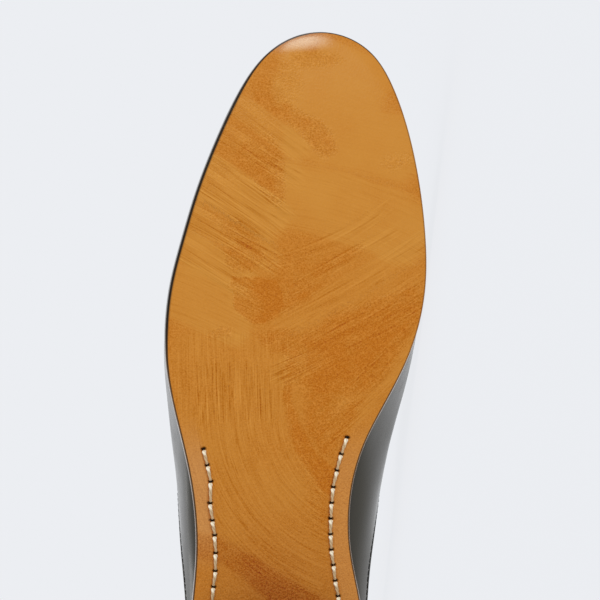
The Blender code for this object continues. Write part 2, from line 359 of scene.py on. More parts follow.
# Wax smears brushed over the sole: each has a straight lead up to (x, y), then an arc along its heading
# that turns by its bend. Each coat has its own run of bristle marks.
COATS = 4
SMEAR_FRAY = (0.5, 0.22, 0.22, 0.4)
SMEAR_START = (-3, 6)
SMEAR_END = 7
SMEAR_COLUMNS = ("coat", "x", "y", "heading", "lead", "length", "width", "bend", "wax", "streak")
SMEAR_ROWS = (
    (0, -13.0, 252.0, -156.0, 2, 27.0, 11.0, 0.0, 0.34, 0.1),
    (0, -2.0, 244.0, -164.0, 4, 34.0, 20.0, 6.0, 0.38, 0.12),
    (0, -5.0, 227.0, -172.0, 4, 42.0, 22.0, 8.0, 0.38, 0.15),
    (0, -1.0, 206.0, -172.0, 4, 50.0, 22.0, 22.0, 0.42, 0.35),
    (0, 37.0, 176.0, -161.0, 4, 32.0, 19.0, 10.0, 0.40, 0.55),
    (0, -0.5, 147.5, 156.0, 4, 16.0, 8.5, 0.0, 0.14, 1.5),
    (1, 16.0, 236.0, -147.0, 4, 30.0, 8.0, 6.0, 0.30, 0.9),
    (1, 20.0, 227.0, -150.0, 4, 32.0, 7.0, 4.0, 0.16, 1.2),
    (1, 27.0, 213.5, -148.0, 4, 34.0, 15.0, 4.0, 0.46, 1.5),
    (1, 31.0, 201.0, -154.0, 4, 36.0, 9.0, 8.0, 0.28, 1.7),
    (1, 36.0, 192.5, -151.0, 4, 32.0, 10.5, 6.0, 0.40, 1.2),
    (1, -15.0, 130.0, 140.0, 4, 46.0, 12.0, -8.0, 0.16, 0.7),
    (1, 15.0, 150.0, -92.0, 3, 18.0, 26.0, 0.0, 0.02, 1.5),
    (2, -1.0, 163.0, 152.0, 4, 56.0, 9.0, -4.0, 0.15, 0.9),
    (2, -5.0, 175.0, 150.0, 4, 38.0, 5.0, 0.0, 0.09, 0.95),
    (2, 3.0, 183.0, 166.0, 4, 44.0, 5.5, -24.0, 0.02, 0.9),
    (2, -4.0, 152.0, 152.0, 4, 54.0, 16.0, -4.0, 0.10, 0.8),
    (3, 15.5, 135.0, -91.0, 27, 60.0, 37.0, -68.0, 0.10, 0.95),
)

# Where the wax is worn off and the bare grain shows darker: how bare, the softness of the border in
# millimetres, and the outline
BARE_PATCHES = (
    # thin wax over the toe's lateral side, which hardly darkens it but shows the grain
    (0.22, 4.0, ((10, 250), (-4, 251), (-8, 240), (-2, 228), (6, 214), (14, 206), (26, 204), (24, 216),
                 (18, 232))),
    # band near the toe
    (0.32, 3.0, ((11, 245), (5, 250), (-2, 250), (-7, 248), (-8, 246), (-3, 244))),
    (0.40, 3.0, ((-4, 252), (-12, 252.5), (-19, 251), (-22, 248.5), (-17, 246.5), (-9, 245.5),
                 (-4, 246.5))),
    (0.30, 4.5, ((8, 246), (0, 248), (-8, 246), (-9, 240), (-6, 234), (0, 231), (7, 233))),
    (0.46, 2.4, ((10, 242), (4, 245), (-2, 239), (-6, 233), (-2, 230), (3, 232), (8, 235))),
    (0.60, 2.4, ((-1, 237), (-8, 232), (-14, 229), (-18, 225), (-19, 219), (-15, 216.5), (-11, 220),
                 (-7, 225), (-1, 230))),
    # lateral side, darkest along a brush's straight stop on its medial border
    (0.44, 2.2, ((15, 218), (13, 221), (8, 226), (2, 225), (-1, 221), (-2.5, 215), (-2.5, 208), (-2, 202),
                 (0, 201), (3, 203), (6, 207), (10, 211), (15, 215))),
    (0.62, 1.4, ((4, 211), (-2, 216), (-2.5, 208), (-2, 202), (0, 201), (3, 204))),
    (0.26, 2.2, ((16.5, 230), (11, 231.5), (4, 226.5), (8.5, 224), (18, 222), (19.5, 224))),
    (0.36, 2.2, ((27, 201.5), (20, 201), (10, 197), (5, 193), (4, 188), (10, 188), (17, 190), (20, 195))),
    # medial rim
    (0.30, 2.6, ((-34, 218.5), (-43.5, 219.5), (-44.5, 215), (-37.5, 212), (-32, 214))),
    # middle of the forepart
    (0.52, 1.8, ((18, 188), (10, 191), (5, 190), (4, 185), (8, 180), (14, 180), (17, 183))),
    (0.32, 2.4, ((5, 188), (-4, 187), (-12, 184), (-12, 179), (0, 178), (5, 180))),
    (0.92, 0.9, ((16, 176), (14.5, 179), (5, 178.5), (1, 178), (-1, 175), (-2, 170), (0, 166), (4, 164),
                 (8, 163.5), (10.5, 165.5), (14, 168.5), (14.5, 171), (14, 173.5))),
    (0.52, 3.0, ((3, 180), (-7, 179.5), (-15, 177), (-10, 171), (-4, 166.5), (1, 166))),
    (0.48, 2.0, ((-9, 181), (-13, 184), (-20, 187), (-27, 190), (-29, 188), (-23, 184), (-17, 180),
                 (-11, 177.5))),
    # under the ball
    (0.50, 2.5, ((9, 161), (-3, 163), (-8, 161), (-4, 153), (3, 154.5))),
    (0.90, 3.0, ((-8, 158), (-16, 161), (-23, 160), (-23, 146), (-14, 143), (-8, 147))),
    (0.60, 3.2, ((-7, 160), (-13, 164), (-18, 167), (-27, 170), (-33, 173), (-40, 175), (-47, 177),
                 (-47, 167.5), (-43, 160), (-38.5, 152), (-33, 144), (-25, 140), (-13.5, 140), (-7, 143),
                 (-2, 146), (-1, 150.5), (-3, 155))),
    # along the outer side of the long sweep
    (0.60, 1.8, ((-1.5, 146.5), (-4.5, 146.5), (-5, 139.5), (-7, 132.5), (-10.5, 126.5), (-14.5, 120.5),
                 (-16.5, 115), (-15.5, 109.5), (-12.5, 111), (-9, 116.5), (-5, 123.5), (-3, 131),
                 (-1.5, 139.5))),
    (0.92, 1.4, ((-10, 118), (-14, 121), (-18, 117), (-18, 108), (-14.5, 109), (-12, 114))),
    (0.34, 3.0, ((-6, 119), (-12, 121), (-18, 118), (-19, 100), (-14, 98), (-9, 106))),
    (0.54, 3.0, ((-8, 143), (-20, 141), (-28, 140), (-26, 134), (-21, 125), (-17, 119), (-13, 121),
                 (-9, 128))),
    # a band across the waist, darkest towards the heel
    (0.46, 1.5, ((27, 97), (20, 95.5), (16, 94), (10, 90), (6, 83), (9, 79.5), (12, 82), (18, 86),
                 (27, 88))),
    (0.62, 1.5, ((13, 91), (10, 90), (4, 86.5), (-2, 82.5), (-8, 79), (-14, 76), (-20, 72), (-20, 66),
                 (-4, 66), (5, 75.5), (9, 79.5), (11, 82))),
    (0.80, 2.2, ((9, 83.5), (2, 83), (-4, 79.5), (-12, 75), (-20, 70), (-20, 66), (-4, 66), (5, 76))),
    # where the long sweep begins
    (0.45, 1.6, ((23.5, 160.5), (18, 163.5), (14, 162.5), (15, 159.5), (22, 158.5))),
)


def table(names, rows):
    """The columns of a table by name."""
    return dict(zip(names, np.array(rows, float).T))


def spline(knots, values):
    """A natural cubic spline through the values, as a function."""
    count = len(knots)
    step = np.diff(knots)
    slope = np.diff(values) / step
    system = np.eye(count)
    right = np.zeros(count)
    for i in range(1, count - 1):
        system[i, i - 1 : i + 2] = step[i - 1], 2 * (step[i - 1] + step[i]), step[i]
        right[i] = 6 * (slope[i] - slope[i - 1])
    bend = np.linalg.solve(system, right)

    def at(x):
        x = np.clip(x, knots[0], knots[-1])
        i = np.clip(np.searchsorted(knots, x) - 1, 0, count - 2)
        before = x - knots[i]
        after = knots[i + 1] - x
        curve = (bend[i] * after**3 + bend[i + 1] * before**3) / (6 * step[i])
        chord = (values[i] * after + values[i + 1] * before) / step[i]
        return curve + chord - step[i] * (bend[i] * after + bend[i + 1] * before) / 6

    return at


def soft_step(low, high, value):
    """A smooth step from 0 at low to 1 at high."""
    share = np.clip((value - low) / (high - low), 0, 1)
    return share * share * (3 - 2 * share)


def turn_of(station):
    """The half turn that a station stands for, so that a curve over it is round at heel and toe."""
    return np.arccos(np.clip(1 - 2 * np.asarray(station) / SOLE_LENGTH, -1, 1))


OUTLINE = table(OUTLINE_COLUMNS, OUTLINE_ROWS)
PROFILE = table(PROFILE_COLUMNS, PROFILE_ROWS)
EDGE = table(EDGE_COLUMNS, EDGE_ROWS)
LAST = table(LAST_COLUMNS, LAST_ROWS)
TOPLINE = table(TOPLINE_COLUMNS, TOPLINE_ROWS)
INSOLE = table(INSOLE_COLUMNS, INSOLE_ROWS)

reach_of = {
    LATERAL: spline(turn_of(OUTLINE["station"]), OUTLINE["lateral"]),
    MEDIAL: spline(turn_of(OUTLINE["station"]), OUTLINE["medial"]),
}
profile_height = spline(PROFILE["station"], PROFILE["height"])
paring = spline(PROFILE["station"], PROFILE["paring"])
edge_inset = spline(EDGE["share"], EDGE["inset"])
insole_inset = spline(INSOLE["station"], INSOLE["inset"])
last_curve = {name: spline(np.sqrt(LAST["from_toe"]), LAST[name]) for name in LAST_COLUMNS[1:]}
topline_reach = spline(
    np.concatenate([-TOPLINE["girth"][:0:-1], TOPLINE["girth"]]),
    np.concatenate([TOPLINE["from_toe"][:0:-1], TOPLINE["from_toe"]]),
)


def shoe_frame():
    """The matrix from the shoe's millimetres to the scene, from the two flat treads in the record."""
    treads = {mount["name"]: mount for mount in frame["record"]["mounts"]}
    heel = Vector(treads["heel_tread"]["pos_m"])
    forefoot = Vector(treads["forefoot_tread"]["pos_m"])
    up = -Vector(treads["heel_tread"]["axis"]).normalized()
    ahead = (forefoot - heel).normalized()
    lateral = ahead.cross(up)
    origin = heel - ahead * HEEL_SPOT_STATION * MM
    turn = Matrix((lateral, ahead, up)).transposed().to_4x4()
    return Matrix.Translation(origin) @ turn @ Matrix.Scale(MM, 4)


TO_SCENE = shoe_frame()
TURN = TO_SCENE.to_3x3().normalized()


# Forms shared by the pieces


def ground_clearance(station):
    """Height of the sole's underside over the ground."""
    return np.maximum(profile_height(station), 0.0)


def sole_top(station):
    """Height of the sole's upper face over the ground."""
    return ground_clearance(station) + SOLE_THICKNESS


def edge_line(side, inset):
    """One side of the sole's outline, moved inwards: points (x, y) from heel to toe."""
    turn = np.linspace(0, math.pi, OUTLINE_SAMPLES)
    y = SOLE_LENGTH * (1 - np.cos(turn)) / 2
    x = side * reach_of[side](turn)
    along_x = np.gradient(x)
    along_y = np.gradient(y)
    along_x[[0, -1]] = side, -side
    along_y[[0, -1]] = 0.0
    length = np.hypot(along_x, along_y)
    depth = inset(y) if callable(inset) else inset
    return np.stack([x - side * depth * along_y / length, y + side * depth * along_x / length], axis=1)


def points_on(line, shares):
    """The points of an outline at shares of its way from heel to toe."""
    start, end = line[0, 1], line[-1, 1]
    stations = start + (end - start) * (1 - np.cos(np.pi * shares)) / 2
    return np.interp(stations, line[:, 1], line[:, 0]), stations


def lengths_along(points):
    """The length of a polyline up to each of its points."""
    return np.concatenate([[0.0], np.cumsum(np.linalg.norm(np.diff(points, axis=0), axis=1))])


def at_lengths(points, lengths):
    """The points of a polyline at given lengths along it."""
    run = lengths_along(points)
    return np.stack([np.interp(lengths, run, points[:, k]) for k in range(points.shape[1])], axis=-1)


def grid_faces(rows, columns, closed=False):
    """Four-sided faces over a grid of points, closed on itself across where asked."""
    i, j = np.meshgrid(np.arange(rows - 1), np.arange(columns - (not closed)), indexing="ij")
    beside = (j + 1) % columns
    corners = [i * columns + j, i * columns + beside, (i + 1) * columns + beside, (i + 1) * columns + j]
    return np.stack(corners, axis=-1).reshape(-1, 4)


def add_object(name, data):
    """An object for a mesh, a light or a camera, linked into the scene."""
    made = bpy.data.objects.new(name, data)
    bpy.context.scene.collection.objects.link(made)
    return made


def store(mesh, label, values):
    """Stores a number or a vector at each point of a mesh."""
    kind, field = ("FLOAT_VECTOR", "vector") if values.ndim == 2 else ("FLOAT", "value")
    stored = mesh.attributes.new(label, kind, "POINT")
    stored.data.foreach_set(field, values.astype(np.float32).ravel())


def face_outwards(mesh):
    """Turns the faces of a closed mesh outwards and shades it smooth."""
    shell = bmesh.new()
    shell.from_mesh(mesh)
    bmesh.ops.recalc_face_normals(shell, faces=shell.faces)
    shell.to_mesh(mesh)
    shell.free()
    mesh.shade_smooth()


def piece(name, points, faces, finishes, finish_of_face=None, attributes=None, sharp=SHARP):
    """A smooth closed mesh from points in the shoe's millimetres. Points that meet are merged."""
    first, index = np.unique(np.round(points, 3), axis=0, return_index=True, return_inverse=True)[1:]
    index = index.reshape(-1)
    corners, used = [], []
    for number, face in enumerate(faces):
        around = list(dict.fromkeys(index[list(face)]))
        if len(around) > 2:
            corners.append(around)
            used.append(number)
    mesh = bpy.data.meshes.new(name)
    mesh.from_pydata([TO_SCENE @ Vector(point) for point in points[first]], [], corners)
    for finish in finishes:
        mesh.materials.append(finish)
    if finish_of_face is not None:
        mesh.polygons.foreach_set("material_index", np.asarray(finish_of_face)[used].astype(np.int32))
    for label, values in (attributes or {}).items():
        store(mesh, label, values[first])
    face_outwards(mesh)
    mesh.set_sharp_from_angle(angle=math.radians(sharp))
    return add_object(name, mesh)


def finish_piece(made, node=None):
    """Rides a piece on the shoe's one body, and hides the solid that it stands for."""
    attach(made, "root")
    if node:
        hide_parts(node)
    return made


# Materials


def srgb(red, green, blue):
    """A colour from its 8-bit screen values."""
    shares = np.array([red, green, blue]) / 255
    linear = np.where(shares <= 0.04045, shares / 12.92, ((shares + 0.055) / 1.055) ** 2.4)
    return (*[float(value) for value in linear], 1.0)


def fill(tree, socket, value):
    """Fills an input with another node's output or with a plain value."""
    if isinstance(value, bpy.types.NodeSocket):
        tree.links.new(value, socket)
    else:
        socket.default_value = value


def new_node(tree, kind, inputs=(), **settings):
    """A node with its settings made and its inputs filled."""
    made = tree.nodes.new(kind)
    for label, value in settings.items():
        setattr(made, label, value)
    for key, value in dict(inputs).items():
        fill(tree, made.inputs[key], value)
    return made


class Finish:
    """A material with short calls for its nodes. A socket or a plain value fills each input."""

    def __init__(self, name, **settings):
        self.material = bpy.data.materials.new(name)
        self.material.use_nodes = True
        self.tree = self.material.node_tree
        self.shader = self.tree.nodes["Principled BSDF"]
        for label, value in settings.items():
            self.set(label.replace("_", " "), value)

    def set(self, label, value):
        """Sets an input of the shader, whose labels are given in lower case."""
        for socket in self.shader.inputs:
            if socket.name.lower() == label:
                fill(self.tree, socket, value)

    def node(self, kind, inputs=(), **settings):
        return new_node(self.tree, kind, inputs, **settings)

    def mark(self, name):
        """A number that the mesh carries at each point."""
        return self.node("ShaderNodeAttribute", attribute_name=name).outputs["Fac"]

    def field(self, name):
        """A vector that the mesh carries at each point."""
        return self.node("ShaderNodeAttribute", attribute_name=name).outputs["Vector"]

    def place(self):
        """Object coordinates in millimetres."""
        found = self.node("ShaderNodeTexCoord").outputs["Object"]
        scaled = self.node("ShaderNodeVectorMath", {0: found, "Scale": 1 / MM}, operation="SCALE")
        return scaled.outputs[0]

    def stretched(self, vector, scale):
        """A vector scaled along each axis, so that a pattern runs along one of them."""
        return self.node("ShaderNodeVectorMath", {0: vector, 1: scale}, operation="MULTIPLY").outputs[0]

    def noise(self, vector, scale, detail, roughness):
        inputs = {"Vector": vector, "Scale": scale, "Detail": detail, "Roughness": roughness}
        return self.node("ShaderNodeTexNoise", inputs).outputs[0]

    def cells(self, vector, scale):
        return self.node("ShaderNodeTexVoronoi", {"Vector": vector, "Scale": scale}).outputs["Distance"]

    def math(self, operation, first, second=0.0, third=0.0):
        inputs = {0: first, 1: second, 2: third}
        return self.node("ShaderNodeMath", inputs, operation=operation).outputs[0]

    def centred(self, value, middle=0.5):
        """A pattern's swing about its middle."""
        return self.math("SUBTRACT", value, middle)

    def remap(self, value, low, high, to_low=0.0, to_high=1.0):
        inputs = {"Value": value, "From Min": low, "From Max": high, "To Min": to_low, "To Max": to_high}
        return self.node("ShaderNodeMapRange", inputs, interpolation_type="SMOOTHSTEP").outputs[0]

    def mix(self, share, first, second):
        """A colour between two others."""
        inputs = {0: share, 6: first, 7: second}
        return self.node("ShaderNodeMix", inputs, data_type="RGBA").outputs[2]

    def bump(self, height, distance, strength, normal=None):
        inputs = {"Height": height, "Distance": distance * MM, "Strength": strength}
        if normal is not None:
            inputs["Normal"] = normal
        return self.node("ShaderNodeBump", inputs).outputs[0]


WAX_TAN = srgb(204, 137, 52)
BARE_TAN = srgb(190, 109, 11)
PARED_TAN = srgb(203, 139, 74)
SHADED_TAN = srgb(154, 75, 2)
EDGE_INK = srgb(31, 18, 4)
# colour of the painted highlight line along the edge wall
EDGE_PAINTED_SHEEN = srgb(128, 122, 110)
# colour of the painted shade inside the awl holes
PIT_SHADE = srgb(16, 9, 5)
GRAIN_TONE = (0.50, 0.285, 0.085)
# how far the base under the polish is darkened towards the painted shade tone
POLISH_SHADE_DEPTH = 0.35
BRISTLE_DRAW = 0.03
COAT_STEP = 9.0


def sole_leather():
    """Tan sole leather: wax smears with bristle marks over a darker pebbled grain, and an inked edge with a
    painted highlight line, painted shade in the awl holes, and a base darkened under the toe polish.
    """
    finish = Finish("sole_leather", specular_ior_level=0.16, coat_roughness=0.16, coat_ior=1.75)
    shoe = finish.field("shoe")
    cloud = finish.noise(shoe, 0.045, 4.0, 0.6)
    ragged = finish.noise(shoe, 0.3, 3.0, 0.6)
    wax = finish.remap(cloud, 0.3, 0.7, 0.34, 0.56)
    ridges = 0.0
    for coat in range(COATS):
        smear = finish.field(f"smear_{coat}")
        brush = finish.field(f"brush_{coat}")
        across, along, inside = finish.node("ShaderNodeSeparateXYZ", {0: smear}).outputs
        amount, streak = finish.node("ShaderNodeSeparateXYZ", {0: brush}).outputs[:2]
        drawn = finish.math("MULTIPLY", along, BRISTLE_DRAW)
        run = {0: across, 1: drawn, 2: coat * COAT_STEP}
        bristle = finish.node("ShaderNodeCombineXYZ", run).outputs[0]
        hairs = finish.centred(finish.noise(bristle, 2.2, 3.0, 0.6))
        wander = finish.centred(finish.noise(bristle, 0.62, 1.0, 0.5))
        scratch = finish.remap(finish.math("ABSOLUTE", wander), 0.0, 0.028, 1.0, 0.0)
        frayed = finish.math("MULTIPLY_ADD", hairs, 1.1, inside)
        brushed = finish.remap(frayed, 0.25, 0.75)
        swing = finish.math("MULTIPLY_ADD", scratch, -0.5, finish.math("MULTIPLY", hairs, 2.0))
        swing = finish.math("MULTIPLY", swing, streak)
        ridges = finish.math("MULTIPLY_ADD", brushed, swing, ridges)
        wax = finish.math("MULTIPLY_ADD", brushed, amount, wax)
    bare = finish.mark("bare")
    worn = finish.math("MULTIPLY_ADD", finish.centred(ragged), 0.6, bare)
    worn = finish.math("MULTIPLY_ADD", ridges, -0.15, worn)
    worn = finish.remap(worn, 0.12, 0.92, 0.0, 0.6)
    wax = finish.math("SUBTRACT", finish.math("MULTIPLY_ADD", ridges, 0.22, wax), worn)
    wax = finish.node("ShaderNodeClamp", {"Value": wax}).outputs[0]
    pebble = finish.centred(finish.cells(shoe, 1.6), 0.45)
    pores = finish.centred(finish.noise(shoe, 2.2, 2.0, 0.6))
    open_grain = finish.remap(wax, 0.1, 0.95, 1.0, 0.12)
    open_grain = finish.math("MAXIMUM", open_grain, finish.remap(bare, 0.0, 0.45))
    grain = finish.math("MULTIPLY_ADD", pebble, 0.26, finish.math("MULTIPLY", pores, 0.8))
    grain = finish.math("MULTIPLY_ADD", ridges, 0.2, finish.math("MULTIPLY", grain, open_grain))
    tone = finish.mix(wax, BARE_TAN, WAX_TAN)
    tone = finish.mix(finish.mark("pared"), tone, PARED_TAN)
    tone = finish.mix(finish.mark("shade"), tone, SHADED_TAN)
    grained = {0: grain, 1: GRAIN_TONE, 2: tone}
    tone = finish.node("ShaderNodeVectorMath", grained, operation="MULTIPLY_ADD").outputs[0]
    buffed = finish.mark("buffed")
    # under the toe polish the base is darkened towards the painted shade tone, to set the colour of the
    # lamp's highlight there
    tone = finish.mix(finish.math("MULTIPLY", buffed, POLISH_SHADE_DEPTH), tone, SHADED_TAN)
    # the edge ink, with a painted highlight line along the wall
    ink_and_sheen = finish.mix(finish.mark("painted_sheen"), EDGE_INK, EDGE_PAINTED_SHEEN)
    tone = finish.mix(finish.mark("ink"), tone, ink_and_sheen)
    # painted shade inside the awl holes
    tone = finish.mix(finish.mark("pit_shade"), tone, PIT_SHADE)
    finish.set("base color", tone)
    finish.set("coat weight", buffed)
    finish.set("roughness", finish.remap(wax, 0.1, 0.8, 0.44, 0.28))
    height = finish.math("MULTIPLY_ADD", pebble, open_grain, finish.math("MULTIPLY", ridges, 0.18))
    finish.set("normal", finish.bump(height, 0.22, 0.8))
    return finish.material


def upper_leather():
    """Polished black box leather: a fine grain under the polish, and the slow unevenness of lasted hide."""
    finish = Finish("upper_leather", coat_weight=0.08, coat_roughness=0.12)
    finish.set("base color", srgb(46, 42, 33))
    finish.set("specular tint", (1.0, 0.98, 0.9, 1.0))
    place = finish.place()
    grain = finish.cells(place, 1.7)
    slow = finish.noise(place, 0.06, 3.0, 0.5)
    smudge = finish.noise(place, 0.12, 4.0, 0.6)
    finish.set("roughness", finish.remap(smudge, 0.3, 0.75, 0.17, 0.27))
    lasted = finish.bump(slow, 0.35, 0.5)
    finish.set("normal", finish.bump(grain, 0.02, 0.35, lasted))
    return finish.material


def lining_leather():
    """Natural calf lining, matt, with a soft mottle."""
    finish = Finish("lining_leather", roughness=0.62)
    place = finish.place()
    mottle = finish.noise(place, 0.09, 4.0, 0.6)
    finish.set("base color", finish.mix(mottle, srgb(196, 160, 116), srgb(222, 190, 148)))
    finish.set("normal", finish.bump(finish.cells(place, 1.3), 0.03, 0.5))
    return finish.material


def sock_leather():
    """The insole's natural leather cover, smooth, with fine pores."""
    finish = Finish("sock_leather", roughness=0.55)
    place = finish.place()
    mottle = finish.noise(place, 0.05, 4.0, 0.6)
    pores = finish.noise(place, 1.6, 3.0, 0.6)
    tone = finish.mix(mottle, srgb(200, 164, 120), srgb(218, 184, 142))
    dark_pores = finish.remap(pores, 0.55, 0.8, 0.0, 0.35)
    finish.set("base color", finish.mix(dark_pores, tone, srgb(160, 122, 82)))
    finish.set("normal", finish.bump(pores, 0.04, 0.5))
    return finish.material


def heel_stack():
    """Stacked leather under black edge ink: fine layers that run along the heel."""
    finish = Finish("heel_stack", base_color=srgb(30, 24, 19))
    shoe = finish.field("shoe")
    fibres = finish.noise(finish.stretched(shoe, (0.25, 0.25, 3.5)), 1.0, 4.0, 0.6)
    finish.set("roughness", finish.remap(fibres, 0.3, 0.7, 0.34, 0.48))
    finish.set("normal", finish.bump(fibres, 0.015, 0.5))
    return finish.material


def top_piece_rubber():
    """The heel's rubber top piece, matt with a fine stipple."""
    finish = Finish("top_piece_rubber", base_color=srgb(33, 31, 30))
    place = finish.place()
    stipple = finish.cells(place, 0.9)
    finish.set("roughness", finish.remap(stipple, 0.1, 0.7, 0.5, 0.68))
    finish.set("normal", finish.bump(stipple, 0.08, 0.5))
    return finish.material


def waxed_thread():
    """Cream linen thread, waxed, with painted light: paler at a stitch's raised head, darker towards its
    sunken tail, and painted shade between its plies.
    """
    finish = Finish("waxed_thread", roughness=0.6)
    place = finish.place()
    fibres = finish.noise(place, 2.2, 3.0, 0.6)
    head = finish.mark("head")
    # painted light: each stitch paler at its head and darker at its tail
    fibres_and_light = finish.math("ADD", finish.centred(fibres), head)
    tone = finish.mix(finish.remap(fibres_and_light, -0.1, 0.9), srgb(202, 170, 126), srgb(253, 240, 212))
    # painted shade between the plies
    groove = finish.remap(finish.mark("ply"), 0.05, 0.55, 0.36, 0.0)
    finish.set("base color", finish.mix(groove, tone, srgb(136, 96, 58)))
    finish.set("normal", finish.bump(fibres, 0.05, 0.6))
    return finish.material


def seam_thread():
    """Black thread of the topline's seam."""
    finish = Finish("seam_thread", roughness=0.5)
    place = finish.place()
    fibres = finish.noise(place, 4.0, 2.0, 0.5)
    finish.set("base color", finish.mix(fibres, srgb(14, 14, 15), srgb(34, 34, 35)))
    return finish.material


# Sole


def pit_marks(points):
    """How deep each point of the underside lies in an awl hole, from 0 to 1."""
    marks = np.zeros(len(points))
    chance = np.random.default_rng(HOLE_SEED)
    for side in SIDES:
        holes = np.array(HOLE_ROWS[side])
        for place, ahead in zip(holes, np.gradient(holes, axis=0)):
            turn = math.atan2(ahead[1], ahead[0]) + math.radians(chance.normal(0, HOLE_SKEW))
            way = np.array([math.cos(turn), math.sin(turn)])
            offset = points[:, :2] - place
            along = offset @ way / HOLE_LENGTH
            across = offset @ np.array([-way[1], way[0]]) / HOLE_WIDTH
            marks = np.maximum(marks, soft_step(*HOLE_RIM, np.hypot(along, across)))
    return marks


def smear_marks(points):
    """For each coat of wax: the place across, along and inside its smears, the wax and the streaks."""
    smears = table(SMEAR_COLUMNS, SMEAR_ROWS)
    found = {}
    for coat in range(COATS):
        best = np.zeros(len(points))
        field = np.zeros((len(points), 3))
        brush = np.zeros((len(points), 3))
        for row in np.flatnonzero(smears["coat"] == coat):
            s = {name: smears[name][row] for name in SMEAR_COLUMNS}
            heading = math.radians(s["heading"])
            offset = points[:, :2] - (s["x"], s["y"])
            along = offset @ (math.cos(heading), math.sin(heading))
            across = offset @ (-math.sin(heading), math.cos(heading))
            if s["bend"]:
                radius = s["length"] / math.radians(s["bend"])
                sign = math.copysign(1.0, radius)
                turned = along > 0
                round_along = abs(radius) * np.arctan2(along, sign * (radius - across))
                round_across = radius - sign * np.hypot(along, radius - across)
                along = np.where(turned, round_along, along)
                across = np.where(turned, round_across, across)
            half = s["width"] / 2
            fray = SMEAR_FRAY[coat] * half
            inside = soft_step(half + fray, half - fray, np.abs(across))
            inside *= soft_step(*SMEAR_START, along + s["lead"])
            inside *= soft_step(SMEAR_END, -SMEAR_END, along - s["length"])
            better = inside > best
            best = np.where(better, inside, best)
            field[better] = np.column_stack([across, along, inside])[better]
            brush[better] = s["wax"], s["streak"], 0.0
        found[f"smear_{coat}"] = field
        found[f"brush_{coat}"] = brush
    return found


def distance_to(points, start, end):
    """How far each point lies from a straight stretch, seen from below."""
    way = end - start
    offset = points[:, :2] - start
    share = np.clip(offset @ way / (way @ way), 0, 1)
    return np.linalg.norm(offset - share[:, None] * way, axis=1)


def depth_inside(points, outline):
    """How far each point lies inside a closed outline in millimetres, less than 0 outside it."""
    corners = np.array(outline, float)
    nearest = np.full(len(points), np.inf)
    inside = np.zeros(len(points), bool)
    for start, end in zip(corners, np.roll(corners, -1, axis=0)):
        nearest = np.minimum(nearest, distance_to(points, start, end))
        if end[1] != start[1]:
            beside = (start[1] > points[:, 1]) != (end[1] > points[:, 1])
            slant = (end[0] - start[0]) / (end[1] - start[1])
            inside ^= beside & (points[:, 0] - start[0] < (points[:, 1] - start[1]) * slant)
    return np.where(inside, nearest, -nearest)


def bare_marks(points):
    """How far the wax is worn off at each point."""
    worn = np.zeros(len(points))
    for bareness, softness, outline in BARE_PATCHES:
        worn = np.maximum(worn, bareness * soft_step(-softness, softness, depth_inside(points, outline)))
    return worn


def thread_shade(points):
    """How near each point lies to the shaded lateral side of a stitch, from 0 to 1."""
    marks = np.zeros(len(points))
    for side in SIDES:
        shaded = np.array(HOLE_ROWS[side]) + (THREAD_RADIUS, 0.0)
        for start, end in zip(shaded, shaded[1:]):
            marks = np.maximum(marks, np.exp(-((distance_to(points, start, end) / SHADE_WIDTH) ** 2)))
    return marks


def edge_distances(points):
    """How far each point lies from the sole's outline, seen from below."""
    outline = np.concatenate([edge_line(side, 0.0) for side in SIDES])
    tree = KDTree(len(outline))
    for number, (x, y) in enumerate(outline):
        tree.insert((x, y, 0.0), number)
    tree.balance()
    return np.array([tree.find((x, y, 0.0))[2] for x, y in points[:, :2]])


def sole_shares():
    """Shares of the sole's length for its rows, close together along the stitched waist."""
    stations = np.arange(HEEL_BREAST - 4, HOLE_ROWS[MEDIAL][0][1] + 3, WAIST_ROW_STEP)
    waist = turn_of(stations) / math.pi
    rest = np.linspace(0, 1, SOLE_ROWS)
    rest = rest[(rest < waist[0]) | (rest > waist[-1])]
    return np.sort(np.concatenate([rest, waist]))


def by_station(side, station, waist_value, forepart_value):
    """A value of one side that passes from the waist's to the forepart's behind the ball."""
    gain = forepart_value[side] - waist_value[side]
    return waist_value[side] + gain * soft_step(*FOREPART_START, station)


def edge_share(side, station):
    """How much of its full width the sole's rounded edge has at a station."""
    share = by_station(side, station, EDGE_SHARE, FOREPART_EDGE_SHARE)
    return share + (np.minimum(TOE_EDGE_SHARE, share) - share) * soft_step(*TOE_EDGE_START, station)


def ink_marks(points, inset):
    """The edge ink at each point: it creeps from the rounded edge on to the underside."""
    x, station = points[:, 0], points[:, 1]
    side = np.where(x > -TOE_SWING * soft_step(*TOE_SWING_START, station), LATERAL, MEDIAL)
    at_toe = soft_step(*TOE_INK_START, station)
    marks = np.zeros(len(points))
    for each in SIDES:
        reach = by_station(each, station, INK_REACH, FOREPART_INK_REACH) * (1 - TOE_INK_LOSS * at_toe)
        strength = by_station(each, station, WAIST_INK, FOREPART_INK)
        strength = strength + (TOE_INK - strength) * at_toe
        marks = np.where(side == each, strength * soft_step(reach, INK_FADE * reach, inset), marks)
    return marks


